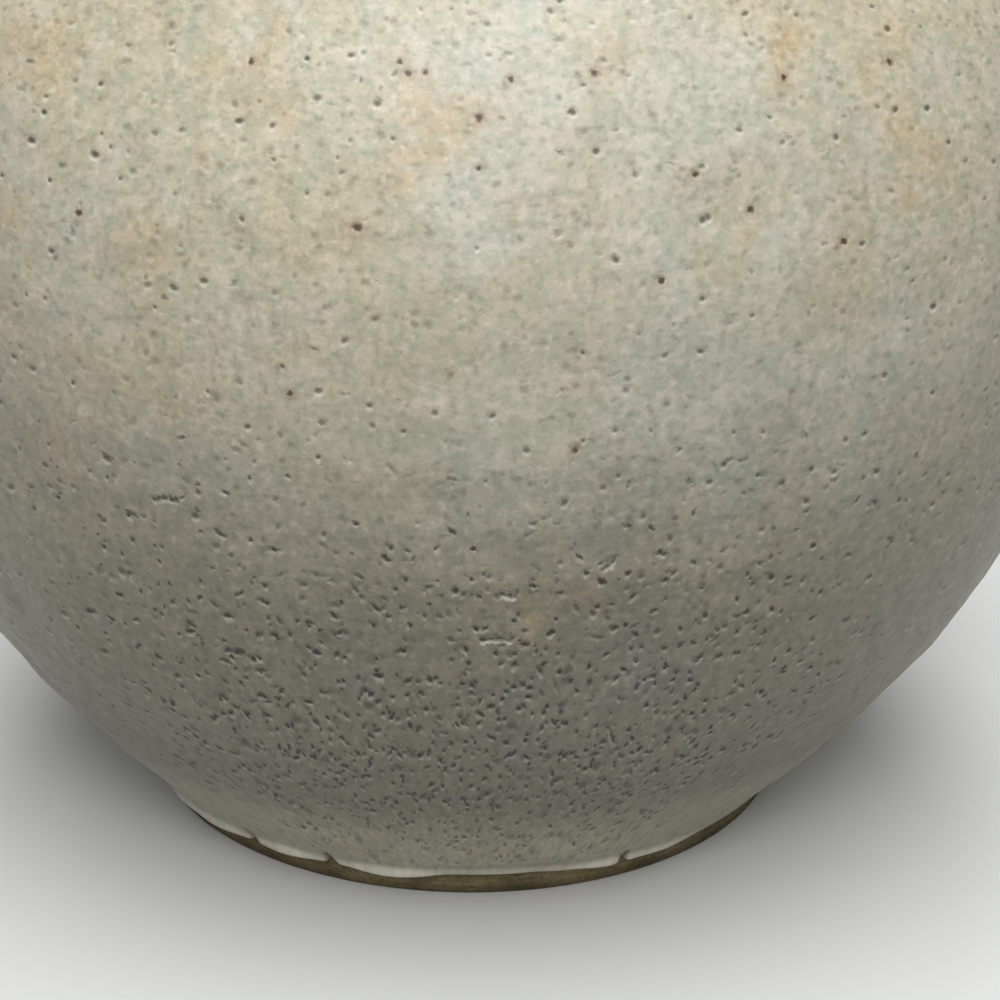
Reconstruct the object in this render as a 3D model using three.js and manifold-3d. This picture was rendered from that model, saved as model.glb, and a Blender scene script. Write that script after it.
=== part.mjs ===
// A hand-thrown stoneware bud vase, as its maker puts it together: a turned foot ring, a bowl and a
// shoulder lapped together just below the belly, a collared neck lapped on the shoulder, a thick glaze
// coat that stops in a rolled edge above the bare foot, and a thin glaze that lines the inside.
// Millimetres, +Z up, with the origin on the axis in the plane that the foot stands on.
import * as THREE from 'three';
import { mergeVertices } from 'three/addons/utils/BufferGeometryUtils.js';
import Module from 'manifold-3d';

// Outline of the clay
const FOOT_DIAMETER = 44;
const FOOT_TOP_DIAMETER = 45.4;
const BELLY_DIAMETER = 78.6;
const BELLY_HEIGHT = 42;
const WAIST_DIAMETER = 20;
const WAIST_HEIGHT = 95;
const LIP_DIAMETER = 27;
const LIP_HEIGHT = 111;

// How far each curve of the outline holds its direction, and the directions at foot and lip
const FLANK_RISE_DEG = 48;
const FLANK_PULL = 17.7;
const BELLY_PULL_BELOW = 20.3;
const BELLY_PULL_ABOVE = 26;
const WAIST_PULL_BELOW = 24;
const WAIST_PULL_ABOVE = 6;
const LIP_RISE_DEG = 62;
const LIP_PULL = 6;

// Clay thickness
const BODY_WALL = 4.2;
const NECK_WALL = 2.8;
const FLOOR_THICKNESS = 5;
const FLOOR_CORNER = 9;
const LIP_ROUND = 1.6;

// Foot ring and its seat under the bowl
const FOOT_RING_WIDTH = 6.5;
const FOOT_BEVEL = 0.5;
const BARE_BAND_HEIGHT = 1.7;
const SPIGOT_HEIGHT = 1.1;

// Lapped joins: the lower piece has a tongue inside, the upper piece a skirt outside it
const JOIN_BELOW_BELLY = 9.2;
const SEAT_BELOW_WAIST = 10;
const LAP_HEIGHT = 3;
const LAP_CLEARANCE = 0.3;

// Glaze coats
const GLAZE_THICKNESS = 0.9;
const LINER_THICKNESS = 0.6;
const GLAZE_CLEARANCE = 0.1;
const GLAZE_LAP_ON_FOOT = 1.5;
const GLAZE_BEAD_THICKNESS = 1.25;
const GLAZE_BEAD_HEIGHT = 2.1;

// The wavering glaze edge: slow waves, one stretch drawn up at the front, and small crawled notches
const EDGE_WAVES = [
  { turns: 2, height: 0.15, phaseDeg: 40 },
  { turns: 5, height: 0.09, phaseDeg: 126 },
  { turns: 9, height: 0.06, phaseDeg: 0 },
];
const EDGE_DRAW_UP = 0.75;
const EDGE_DRAW_UP_DEG = 4;
const EDGE_DRAW_UP_WIDTH_DEG = 24;
const NOTCH_WIDTH = 0.9;
const NOTCH_HEIGHT = 1.1;
const NOTCH_OVERRUN = 0.5;
const NOTCHES_DEG = [-40, -24, 27, 71, 118, 163, 205, 259];

// Throwing rings left by the fingers round the join
const RING_PITCH = 3.4;
const RING_DEPTH = 0.22;
const RINGS_EACH_WAY = 3;

// Facets
const SEGMENTS = 36;
const LEVEL_STEP = 5.5;
const CURVE_STEPS = 4;
const BEAD_STEPS = 4;

const STONEWARE = { color: 0x6b5b44, roughness: 0.95, metalness: 0 };
const FOOT_CLAY = { color: 0x5a4c37, roughness: 0.95, metalness: 0 };
const SPECKLED_GLAZE = { color: 0xc9bfab, roughness: 0.5, metalness: 0 };
const LINER_GLAZE = { color: 0xd2cab8, roughness: 0.35, metalness: 0 };

const { degToRad, lerp, smoothstep } = THREE.MathUtils;
const FRONT = -Math.PI / 2;

const footRadius = FOOT_DIAMETER / 2;
const footTopRadius = FOOT_TOP_DIAMETER / 2;
const footHeight = BARE_BAND_HEIGHT + GLAZE_LAP_ON_FOOT;
const recessRadius = footRadius - FOOT_RING_WIDTH;
const undersideHeight = footHeight - SPIGOT_HEIGHT;
const floorHeight = undersideHeight + FLOOR_THICKNESS;
const joinHeight = BELLY_HEIGHT - JOIN_BELOW_BELLY;
const seatHeight = WAIST_HEIGHT - SEAT_BELOW_WAIST;
const lipBase = LIP_HEIGHT - LIP_ROUND;
const cornerTop = floorHeight + FLOOR_CORNER;

const at = (radius, height) => new THREE.Vector2(radius, height);

// The clay's outline from the table to the lip, as one straight foot and three curves
function outlineStretches() {
  const foot = at(footRadius, 0);
  const footTop = at(footTopRadius, footHeight);
  const belly = at(BELLY_DIAMETER / 2, BELLY_HEIGHT);
  const waist = at(WAIST_DIAMETER / 2, WAIST_HEIGHT);
  const lip = at(LIP_DIAMETER / 2, lipBase);
  const rise = degToRad(FLANK_RISE_DEG);
  const flare = degToRad(LIP_RISE_DEG);
  const leavesFoot = at(Math.cos(rise), Math.sin(rise)).multiplyScalar(FLANK_PULL).add(footTop);
  const reachesLip = at(-Math.cos(flare), -Math.sin(flare)).multiplyScalar(LIP_PULL).add(lip);
  const below = (point, pull) => at(point.x, point.y - pull);
  const above = (point, pull) => at(point.x, point.y + pull);
  return [
    new THREE.LineCurve(foot, footTop),
    new THREE.CubicBezierCurve(footTop, leavesFoot, below(belly, BELLY_PULL_BELOW), belly),
    new THREE.CubicBezierCurve(
      belly,
      above(belly, BELLY_PULL_ABOVE),
      below(waist, WAIST_PULL_BELOW),
      waist,
    ),
    new THREE.CubicBezierCurve(waist, above(waist, WAIST_PULL_ABOVE), reachesLip, lip),
  ];
}

const outline = outlineStretches();

// The point and the direction where the outline reaches a height, found by halving a stretch
function outlineAt(height) {
  const stretch = outline.find((curve) => height <= curve.getPoint(1).y) ?? outline.at(-1);
  let low = 0;
  let high = 1;
  while (high - low > Number.EPSILON) {
    const middle = (low + high) / 2;
    if (stretch.getPoint(middle).y < height) {
      low = middle;
    } else {
      high = middle;
    }
  }
  return { point: stretch.getPoint(high), direction: stretch.getTangent(high) };
}

const radiusAt = (height) => outlineAt(height).point.x;

// Horizontal run through a layer of unit thickness, which grows where the wall leans
const leanAt = (height) => 1 / outlineAt(height).direction.y;

const wallAt = (height) => lerp(BODY_WALL, NECK_WALL, smoothstep(height, BELLY_HEIGHT, seatHeight));
const boreAt = (height) => radiusAt(height) - wallAt(height) * leanAt(height);
const outside = (height, coat = 0) => at(radiusAt(height) + coat * leanAt(height), height);
const inside = (height, coat = 0) => at(boreAt(height) - coat * leanAt(height), height);

// Even levels from low to high, both included
function levels(low, high) {
  const steps = Math.max(1, Math.round((high - low) / LEVEL_STEP));
  return Array.from({ length: steps + 1 }, (_, i) => lerp(low, high, i / steps));
}

const bowlLevels = levels(footHeight, joinHeight);
const shoulderLevels = levels(joinHeight, seatHeight);
const neckLevels = levels(seatHeight, lipBase);
const outerLevels = [...bowlLevels, ...shoulderLevels.slice(1), ...neckLevels.slice(1)];
const linerTop = lipBase - GLAZE_CLEARANCE;

// Levels of the bore from the floor's corner to the lip, which the clay and its liner share
const lapTops = (seat) => [seat + LAP_HEIGHT - LAP_CLEARANCE, seat + LAP_HEIGHT];
const aboveLap = (seat, list) => list.filter((level) => level > seat + LAP_HEIGHT);
const bowlBore = levels(cornerTop, joinHeight);
const shoulderBore = aboveLap(joinHeight, shoulderLevels);
const neckBore = aboveLap(seatHeight, neckLevels);
const boreLevels = [
  ...bowlBore,
  ...lapTops(joinHeight),
  ...shoulderBore,
  ...lapTops(seatHeight),
  ...neckBore.slice(0, -1),
];

// Radius of the middle of a lap that starts at a seat: upright, or leaning in where the wall does
function lapRadius(seat, height) {
  const middle = seat + LAP_HEIGHT / 2;
  const midWall = (level) => (radiusAt(level) + boreAt(level)) / 2;
  const lean = Math.min(0, (midWall(seat + LAP_HEIGHT) - midWall(seat)) / LAP_HEIGHT);
  return midWall(middle) + lean * (height - middle);
}

// Tongue on top of the lower piece, from its outer ledge to its inner wall
function tongue(seat) {
  const top = seat + LAP_HEIGHT - LAP_CLEARANCE;
  const half = LAP_CLEARANCE / 2;
  return [
    at(lapRadius(seat, seat) - half, seat),
    at(lapRadius(seat, top) - half, top),
    inside(top),
    inside(seat),
  ];
}

// Skirt under the upper piece, from its inner wall down to its lower edge
function skirt(seat) {
  const top = seat + LAP_HEIGHT;
  const half = LAP_CLEARANCE / 2;
  return [
    inside(top),
    at(lapRadius(seat, top) + half, top),
    at(lapRadius(seat, seat) + half, seat),
  ];
}

// Rounded lip over the neck's wall, raised by a coat, from outside to inside without its two ends
function lipArc(coat) {
  const outer = outside(lipBase, coat).x;
  const inner = inside(lipBase, coat).x;
  const points = [];
  for (let i = 1; i < 2 * CURVE_STEPS; i += 1) {
    const turned = (Math.PI * i) / (2 * CURVE_STEPS);
    const radius = (outer + inner) / 2 + ((outer - inner) / 2) * Math.cos(turned);
    points.push(at(radius, lipBase + (LIP_ROUND + coat) * Math.sin(turned)));
  }
  return points;
}

// Rounded inside corner from the floor's middle up to the wall, raised by a coat
function floorAndCorner(coat) {
  const floor = floorHeight + coat;
  const wall = inside(floorHeight, coat).x;
  const corner = new THREE.QuadraticBezierCurve(
    at(boreAt(floorHeight) - FLOOR_CORNER, floor),
    at(wall, floor),
    inside(cornerTop, coat),
  );
  return [at(0, floor), ...corner.getPoints(CURVE_STEPS)];
}

// Height of the glaze's lower edge at an angle round the axis
function glazeEdgeAt(angle) {
  const turned = angle - FRONT;
  const wave = ({ turns, height, phaseDeg }) => height * Math.sin(turns * turned + degToRad(phaseDeg));
  const waver = EDGE_WAVES.map(wave).reduce((sum, height) => sum + height);
  const fromDrawUp = turned - degToRad(EDGE_DRAW_UP_DEG);
  const aside = Math.abs(Math.atan2(Math.sin(fromDrawUp), Math.cos(fromDrawUp)));
  const half = degToRad(EDGE_DRAW_UP_WIDTH_DEG / 2);
  return BARE_BAND_HEIGHT + waver + EDGE_DRAW_UP * (1 - smoothstep(aside, half / 2, half));
}

// Waves of the throwing rings, fading out away from the join
function ringAt(height) {
  const rings = (height - joinHeight) / RING_PITCH;
  const fade = Math.max(0, 1 - Math.abs(rings) / (RINGS_EACH_WAY + 1));
  return RING_DEPTH * fade * Math.cos(2 * Math.PI * rings);
}

// Levels of the glaze's outer face: the clay's own levels, with crest and trough of each ring between
function glazedLevels(lowest) {
  const crests = [];
  for (let half = -2 * RINGS_EACH_WAY; half <= 2 * RINGS_EACH_WAY; half += 1) {
    crests.push(joinHeight + (half * RING_PITCH) / 2);
  }
  const clearOfRings = (level) => Math.abs(level - joinHeight) > RINGS_EACH_WAY * RING_PITCH;
  const all = [...outerLevels.filter(clearOfRings), ...crests];
  return all.filter((level) => level > lowest).sort((a, b) => a - b);
}

// Turns a profile about +Z. profileAt(angle) gives as many points at every angle.
function turn(profileAt) {
  const count = profileAt(0).length;
  const geometry = new THREE.LatheGeometry(profileAt(0), SEGMENTS);
  const place = geometry.attributes.position;
  for (let i = 0; i <= SEGMENTS; i += 1) {
    const angle = (2 * Math.PI * (i % SEGMENTS)) / SEGMENTS;
    profileAt(angle).forEach((point, k) => {
      place.setXYZ(i * count + k, point.x * Math.cos(angle), point.x * Math.sin(angle), point.y);
    });
  }
  return geometry;
}

const closed = (points) => [...points, points[0]];

function footRing() {
  const profile = closed([
    at(footRadius - FOOT_BEVEL, 0),
    outside(FOOT_BEVEL),
    outside(footHeight),
    at(recessRadius, footHeight),
    at(recessRadius, FOOT_BEVEL),
    at(recessRadius + FOOT_BEVEL, 0),
  ]);
  return turn(() => profile);
}

function bowl() {
  const spigotRadius = recessRadius - LAP_CLEARANCE;
  const profile = [
    at(0, undersideHeight),
    at(spigotRadius, undersideHeight),
    at(spigotRadius, footHeight),
    ...bowlLevels.map((level) => outside(level)),
    ...tongue(joinHeight),
    ...bowlBore.slice(1, -1).reverse().map((level) => inside(level)),
    ...floorAndCorner(0).reverse(),
  ];
  return turn(() => profile);
}

function shoulder() {
  const profile = closed([
    ...shoulderLevels.map((level) => outside(level)),
    ...tongue(seatHeight),
    ...shoulderBore.slice(0, -1).reverse().map((level) => inside(level)),
    ...skirt(joinHeight),
  ]);
  return turn(() => profile);
}

function collaredNeck() {
  const profile = closed([
    ...neckLevels.map((level) => outside(level)),
    ...lipArc(0),
    ...[...neckBore].reverse().map((level) => inside(level)),
    ...skirt(seatHeight),
  ]);
  return turn(() => profile);
}

// Rolled bead of the glaze's lower edge at an angle: from its tip on the clay to its crest
function glazeBead(angle) {
  const edge = glazeEdgeAt(angle);
  const points = [];
  for (let i = 0; i <= BEAD_STEPS; i += 1) {
    const turned = (Math.PI / 2) * (i / BEAD_STEPS);
    const height = edge + (GLAZE_BEAD_HEIGHT / 2) * (1 - Math.cos(turned));
    points.push(outside(height, GLAZE_CLEARANCE + GLAZE_BEAD_THICKNESS * Math.sin(turned)));
  }
  return points;
}

function glazeCoat() {
  const outerCoat = GLAZE_CLEARANCE + GLAZE_THICKNESS;
  const beadTop = footHeight + GLAZE_BEAD_HEIGHT;
  const face = glazedLevels(beadTop).map((level) => outside(level, outerCoat + ringAt(level)));
  const lip = [...lipArc(outerCoat), inside(lipBase, outerCoat), inside(lipBase, GLAZE_CLEARANCE)];
  const back = [
    ...lipArc(GLAZE_CLEARANCE).reverse(),
    ...[...outerLevels].reverse().map((level) => outside(level, GLAZE_CLEARANCE)),
  ];
  return turn((angle) => closed([...glazeBead(angle), ...face, ...lip, ...back]));
}

// Wedge that takes one crawled notch out of the glaze edge
function notchCutter(offsetDeg) {
  const angle = FRONT + degToRad(offsetDeg);
  const start = glazeEdgeAt(angle) - NOTCH_OVERRUN;
  const wedge = new THREE.Shape([
    at(-NOTCH_WIDTH / 2, 0),
    at(NOTCH_WIDTH / 2, 0),
    at(0, NOTCH_OVERRUN + NOTCH_HEIGHT),
  ]);
  const depth = (GLAZE_CLEARANCE + GLAZE_BEAD_THICKNESS) * leanAt(footHeight) + NOTCH_OVERRUN;
  const geometry = new THREE.ExtrudeGeometry(wedge, { depth, bevelEnabled: false });
  const across = new THREE.Vector3(-Math.sin(angle), Math.cos(angle), 0);
  const outward = new THREE.Vector3(Math.cos(angle), Math.sin(angle), 0);
  const up = new THREE.Vector3(0, 0, 1);
  const frame = new THREE.Matrix4().makeBasis(across, up, outward);
  frame.setPosition(outward.clone().multiplyScalar(radiusAt(start)).setZ(start));
  return geometry.applyMatrix4(frame);
}

function linerCoat() {
  const outer = GLAZE_CLEARANCE;
  const inner = GLAZE_CLEARANCE + LINER_THICKNESS;
  const wall = [...boreLevels.slice(1), linerTop];
  const profile = [
    ...floorAndCorner(outer),
    ...wall.map((level) => inside(level, outer)),
    ...[...wall].reverse().map((level) => inside(level, inner)),
    ...floorAndCorner(inner).reverse(),
  ];
  return turn(() => profile);
}

const wasm = await Module();
wasm.setup();

function toSolid(geometry) {
  const bare = geometry.clone();
  bare.deleteAttribute('normal');
  bare.deleteAttribute('uv');
  const merged = mergeVertices(bare);
  const vertProperties = new Float32Array(merged.attributes.position.array);
  const triVerts = new Uint32Array(merged.index.array);
  return new wasm.Manifold(new wasm.Mesh({ numProp: 3, vertProperties, triVerts }));
}

function toGeometry(solid) {
  const mesh = solid.getMesh();
  const geometry = new THREE.BufferGeometry();
  geometry.setAttribute('position', new THREE.BufferAttribute(mesh.vertProperties, 3));
  geometry.setIndex(new THREE.BufferAttribute(mesh.triVerts, 1));
  geometry.computeVertexNormals();
  return geometry;
}

function notchedGlaze() {
  const cut = (coat, offsetDeg) => coat.subtract(toSolid(notchCutter(offsetDeg)));
  return toGeometry(NOTCHES_DEG.reduce(cut, toSolid(glazeCoat())));
}

const vase = new THREE.Group();

function addPiece(name, geometry, finish) {
  const mesh = new THREE.Mesh(geometry, new THREE.MeshStandardMaterial(finish));
  mesh.name = name;
  vase.add(mesh);
}

addPiece('foot_ring', footRing(), FOOT_CLAY);
addPiece('lower_body', bowl(), STONEWARE);
addPiece('upper_body', shoulder(), STONEWARE);
addPiece('neck', collaredNeck(), STONEWARE);
addPiece('outer_glaze', notchedGlaze(), SPECKLED_GLAZE);
addPiece('inner_glaze', linerCoat(), LINER_GLAZE);

export default vase;
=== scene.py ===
# A hand-thrown stoneware bud vase: bare turned foot, thrown clay sections, a pitted cream glaze and a liner.
import math
from collections import namedtuple

import bmesh
import bpy
import numpy as np
from mathutils import Matrix, Vector


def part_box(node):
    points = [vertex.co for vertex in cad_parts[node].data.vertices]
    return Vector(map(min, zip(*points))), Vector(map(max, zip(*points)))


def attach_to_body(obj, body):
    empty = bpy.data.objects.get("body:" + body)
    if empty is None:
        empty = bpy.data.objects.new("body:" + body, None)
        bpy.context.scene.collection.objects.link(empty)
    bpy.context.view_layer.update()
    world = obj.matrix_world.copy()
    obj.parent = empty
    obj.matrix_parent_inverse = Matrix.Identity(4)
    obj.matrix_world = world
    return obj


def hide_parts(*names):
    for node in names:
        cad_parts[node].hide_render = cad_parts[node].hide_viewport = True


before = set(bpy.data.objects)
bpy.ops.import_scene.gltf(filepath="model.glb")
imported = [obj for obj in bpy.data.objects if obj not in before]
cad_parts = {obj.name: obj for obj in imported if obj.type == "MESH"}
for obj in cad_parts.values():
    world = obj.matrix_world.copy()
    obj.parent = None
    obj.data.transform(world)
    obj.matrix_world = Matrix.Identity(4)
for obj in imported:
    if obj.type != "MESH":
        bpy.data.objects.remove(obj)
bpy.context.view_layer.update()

# Pieces are worked out in millimetres and made in metres
MM = 0.001
TURN = 2 * math.pi
FRONT = -math.pi / 2
BACK = math.pi / 2


def node_corners(node):
    """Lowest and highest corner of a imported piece, in millimetres."""
    low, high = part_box(node)
    return low / MM, high / MM


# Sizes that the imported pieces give
FOOT_TOP_RADIUS, _, FOOT_HEIGHT = node_corners("foot_ring")[1]
UNDERSIDE_HEIGHT = node_corners("lower_body")[0].z
JOIN_HEIGHT = node_corners("upper_body")[0].z
SEAT_HEIGHT = node_corners("neck")[0].z
LIP_HEIGHT = node_corners("neck")[1].z

# Outline of the clay: foot, belly, waist and lip, and how far each curve holds its direction
FOOT_RADIUS = 22.0
BELLY_RADIUS = 39.3
BELLY_HEIGHT = 42.0
WAIST_RADIUS = 10.0
WAIST_HEIGHT = 95.0
LIP_RADIUS = 13.5
LIP_ROUND = 1.6
FLANK_RISE = math.radians(48)
FLANK_PULL = 17.7
BELLY_PULL_BELOW = 20.3
BELLY_PULL_ABOVE = 26.0
WAIST_PULL_BELOW = 24.0
WAIST_PULL_ABOVE = 6.0
LIP_RISE = math.radians(62)
LIP_PULL = 6.0
LIP_BASE = LIP_HEIGHT - LIP_ROUND
OUTLINE_SAMPLES = 600
OUTLINE_STEP = 0.05

# Clay walls, floor and laps
BODY_WALL = 4.2
NECK_WALL = 2.8
FLOOR_THICKNESS = 5.0
FLOOR_CORNER = 9.0
FOOT_RING_WIDTH = 6.5
FOOT_BEVEL = 0.22
BEVEL_ROWS = 5
LAP_HEIGHT = 3.0
LAP_CLEARANCE = 0.3
RECESS_RADIUS = FOOT_RADIUS - FOOT_RING_WIDTH
FLOOR_HEIGHT = UNDERSIDE_HEIGHT + FLOOR_THICKNESS
CORNER_TOP = FLOOR_HEIGHT + FLOOR_CORNER

# Glaze coats and the rolled bead at the outer coat's lower edge
GLAZE_THICKNESS = 0.9
LINER_THICKNESS = 0.6
GLAZE_CLEARANCE = 0.1
LINER_GAP = 0.01
BARE_BAND = 1.55
BEAD_ROLL = 0.32
BEAD_TOP = 1.75
BEAD_SOFTNESS = 0.2

# The wavering glaze edge: slow waves, a stretch drawn up at the front, and crawled notches
EDGE_WAVES = ((2, 0.10, 40), (5, 0.07, 126), (9, 0.05, 0))
EDGE_DRAW_UP = 0.18
EDGE_DRAW_UP_AT = 4
EDGE_DRAW_UP_WIDTH = 24
NOTCHES = (-37, -22, 26, 71, 118, 163, 205, 259)
NOTCH_WIDTH = 0.5
NOTCH_FLARE = 1.8
NOTCH_HEIGHT = 1.25
NOTCH_TURN_IN = 3.0
EDGE_REACH = 18

# Hanging drops of the bead: place, width in degrees, and how much higher their upright face starts
DROPS = (
    (-56, 7, 0.45), (-45, 6, 0.55), (-30, 6, 0.75), (-12, 7, 0.95), (6, 9, 0.5), (23, 5, 0.65), (34, 6, 0.45),
    (62, 6, 0.2), (98, 9, 0.5), (130, 6, 0.4), (158, 5, 0.6), (196, 8, 0.5), (232, 9, 0.4), (254, 5, 0.6),
    (275, 6, 0.3),
)

# Throwing rings and the soft unevenness of the glaze face, which set in away from its edge and its lip
RING_PITCH = 3.4
RING_DEPTH = 0.05
RING_WAVER = 0.25
RINGS_EACH_WAY = 3
LUMP_SIZES = ((7.0, 0.05), (3.2, 0.034), (1.9, 0.018))
LUMPS_FROM_EDGE = (0.6, 4.0)
LUMPS_BELOW_LIP = 6.0
RIPPLE_WAVES = 28
RIPPLE_SPREAD = (0.6, 1.3)

# Lines of the turning tool on the foot, and the trimming spiral under the floor: from where to where they
# set in, and how far from the foot's top and the recess's wall they end
FOOT_TOOL_PITCH = 0.42
FOOT_TOOL_DEPTH = 0.02
FOOT_TOOL_WAVER = 0.6
FOOT_TOOL_START = (0.3, 0.7)
FOOT_TOOL_STOP = (0.2, 0.6)
SPIRAL_PITCH = 2.3
SPIRAL_DEPTH = 0.09
SPIRAL_START = (0.5, 2.5)
SPIRAL_STOP = (1.0, 2.5)

# Marks in the glaze are drawn taller low on the flank where it ran, most of all at the front
LOW_MARKS = 0.42
LOW_MARKS_TOP = 4.0
LOW_MARKS_HALF_WIDTH = math.radians(20)
LOW_MARKS_END = math.radians(65)
LOW_MARKS_ASIDE = 0.2

# Heights between which the pits change from large, soft and faint near the foot to small and dark, and the
# share and darkness of the small ones there
SOFT_PITS = (4.0, 16.0)
SMALL_PITS_LOW = 0.35
PIT_DARKNESS_LOW = 0.7

# Pitting grows from a little at one height to full at a lower one, clear of the bead. It thins out from the
# front to the sides on the lower body, and comes back towards the back
PITTED_HEIGHTS = (8.0, 42.0)
LEAST_PITTING = 0.08
CLEAR_OF_BEAD = (0.8, 1.9)
CLEAR_OF_BEAD_ASIDE = 2.6
SMOOTH_SIDES = (math.radians(16), math.radians(48))
SMOOTH_SIDES_END = (math.radians(95), math.radians(140))
SMOOTH_HEIGHTS = (22.0, 44.0)
SMOOTHNESS = 0.88
PITTED_BACK = 0.6

# The glaze thins, and painted shade darkens the lower body, from one height to a lower one, over a longer
# stretch from the front to the sides. Part of it starts to darken higher up, and it thickens and lightens
# again near its edge
THIN_HEIGHTS = (26.0, 42.0)
THIN_LONGER = (5.0, 8.0)
THIN_SIDES = (math.radians(15), math.radians(55))
THIN_EARLY = 0.2
THIN_EARLY_HEIGHTS = (36.0, 60.0)
THIN_FROM_EDGE = (1.5, 9.0)

# Heights above the edge over which the glaze is pooled, faintly pooled, and gathered in its bead, and over
# which painted shade darkens a notch, in notch heights
POOLED = (0.6, 3.6)
FAINTLY_POOLED = (3.0, 11.0)
FAINT_POOLING = 0.3
BEADED = (0.6, 1.2)
NOTCH_SHADED = (0.9, 1.4)

# Slow clouds that shift these heights, and how blushes and patches stray from round
CLOUD_LENGTH = 9.0
CLOUD_RISE = 0.8
STRAY = 1.1
STRAY_LENGTH = 5.0

# Marks are drawn wider towards the sides than at the front and back, and keep most of their width where
# the shoulder narrows to the neck
SIDE_WIDENING = 0.33
MARK_RADIUS = BELLY_RADIUS / (1 + SIDE_WIDENING)
MARK_TAPER = 0.7

# Columns and rows of the meshes, the closest columns as a share of their spacing, and the share of the
# chart that the outer face takes up
GLAZE_COLUMNS = 480
CLAY_COLUMNS = 240
NOTCH_COLUMNS = 11
NOTCH_REACH = 1.2
CLOSEST_COLUMNS = 0.05
FACE_STEP = 0.7
SHOULDER_STEP = 1.7
CLAY_STEP = 1.0
LINER_STEP = 1.6
FOOT_STEP = 0.14
ROLL_ROWS = 6
BEAD_STEP = 0.17
BEAD_REACH = 1.6
BLEND_TOP = 8.0
BLEND_STEP = 0.65
LIP_ROWS = 12
CORNER_ROWS = 12
FACE_TOP = 62.0
FACE_SHARE = 0.92
SHARP_EDGE = math.radians(40)

# Places in the photograph's frame, with sizes in millimetres and strengths
BLUSHES = (
    (10, 60, 3.4, 0.8), (165, 90, 2.0, 0.4), (262, 58, 2.0, 0.6), (415, 75, 1.9, 0.8), (430, 130, 2.2, 0.7),
    (620, 62, 1.8, 0.7), (775, 52, 2.4, 1.0), (892, 60, 1.4, 1.0), (909, 160, 2.0, 1.0),
    (758, 212, 1.6, 0.8), (5, 250, 2.6, 0.7), (150, 240, 2.6, 0.45), (152, 405, 2.6, 0.5),
    (565, 600, 1.8, 1.0), (300, 270, 2.4, 0.35), (110, 335, 2.6, 0.5), (60, 430, 2.2, 0.5),
    (480, 130, 1.6, 0.6),
)
PALE_PATCHES = (
    (50, 232, 4.0, 1.0), (480, 222, 3.6, 1.0), (700, 112, 4.2, 1.0), (870, 132, 3.2, 1.0),
    (690, 300, 3.6, 1.0), (170, 450, 3.0, 1.0), (640, 405, 3.2, 1.0), (770, 395, 3.4, 1.0),
    (900, 370, 3.2, 1.0), (710, 480, 3.2, 1.0), (850, 470, 3.0, 1.0), (600, 520, 2.6, 1.0),
    (790, 228, 2.4, 1.0), (500, 60, 5.0, 1.0), (480, 470, 3.0, 1.0), (630, 660, 3.4, 1.0),
    (500, 700, 2.8, 1.0), (350, 640, 2.6, 1.0),
)
CRACKS = (
    (481, 640, 511, 638), (603, 569, 614, 558), (501, 593, 515, 596), (608, 726, 615, 742),
    (494, 796, 493, 810),
)
IRON_SPECKS = (
    (357, 228, 0.30), (478, 118, 0.28), (290, 392, 0.24), (843, 242, 0.28), (596, 73, 0.30), (409, 72, 0.26),
    (425, 72, 0.22), (511, 79, 0.24), (480, 168, 0.24), (400, 60, 0.22), (783, 77, 0.26), (252, 61, 0.28),
    (890, 62, 0.30), (752, 210, 0.26), (660, 281, 0.24), (695, 174, 0.24), (78, 214, 0.28), (575, 450, 0.24),
)
IRON_SCALE = 0.8

# Blushes and patches where the photograph doesn't show the face: beyond an angle in degrees or above a height
PHOTO_ANGLE = 62
PHOTO_TOP = 58
ELSEWHERE_FROM = 4.0
ELSEWHERE_BLUSHES = 46
ELSEWHERE_PATCHES = 34
ELSEWHERE_SIZES = (2.0, 4.5)
ELSEWHERE_STRENGTHS = (0.4, 1.0)
LIP_BLUSH = 0.75

# Stretch of a line of sight that is searched for the face, and its step
SIGHT = (60, 260, 0.02)


def colour(red, green, blue):
    """Linear colour of an sRGB value from 0 to 255."""
    def linear(value):
        share = value / 255
        return share / 12.92 if share <= 0.04045 else ((share + 0.055) / 1.055) ** 2.4
    return (linear(red), linear(green), linear(blue), 1.0)


# Colours
CREAM = colour(202, 197, 178)
COOL_WHITE = colour(198, 200, 190)
WARM_CREAM = colour(199, 191, 168)
# Lower body: thinner glaze darkened with painted shade, and a shaded copy of the cool white for patches there
THIN_SHADED_GLAZE = colour(131, 127, 113)
SHADED_COOL_GREY = colour(121, 124, 117)
POOLED_GLAZE = colour(216, 212, 198)
BEAD_GLAZE = colour(238, 234, 220)
PINK_CLOUD = colour(255, 251, 246)
GREEN_CLOUD = colour(234, 238, 231)
FLECK = colour(232, 228, 214)
# Painted shade inside the notches, in a dark clay tone
NOTCH_SHADE = colour(72, 62, 42)
# Painted highlight on the lower lips of pits and cracks
PIT_HIGHLIGHT = colour(226, 224, 212)
BLUSH = colour(200, 168, 124)
RUST = colour(150, 92, 48)
PIT_SHADE = colour(46, 42, 33)
SPOT_SHADE = colour(66, 53, 38)
FAINT_SHADE = colour(150, 142, 118)
BARE_CLAY = colour(146, 132, 96)
DARK_CLAY = colour(106, 95, 66)
LIGHT_CLAY = colour(166, 152, 116)
SAND = colour(186, 174, 140)
LINER = colour(206, 200, 182)
LINER_SHADE = colour(188, 178, 152)
FLOOR = (0.81, 0.82, 0.81, 1.0)
FLOOR_BOUNCE = (0.30, 0.30, 0.30, 1.0)
FLOOR_ROUGHNESS = 0.9

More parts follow.
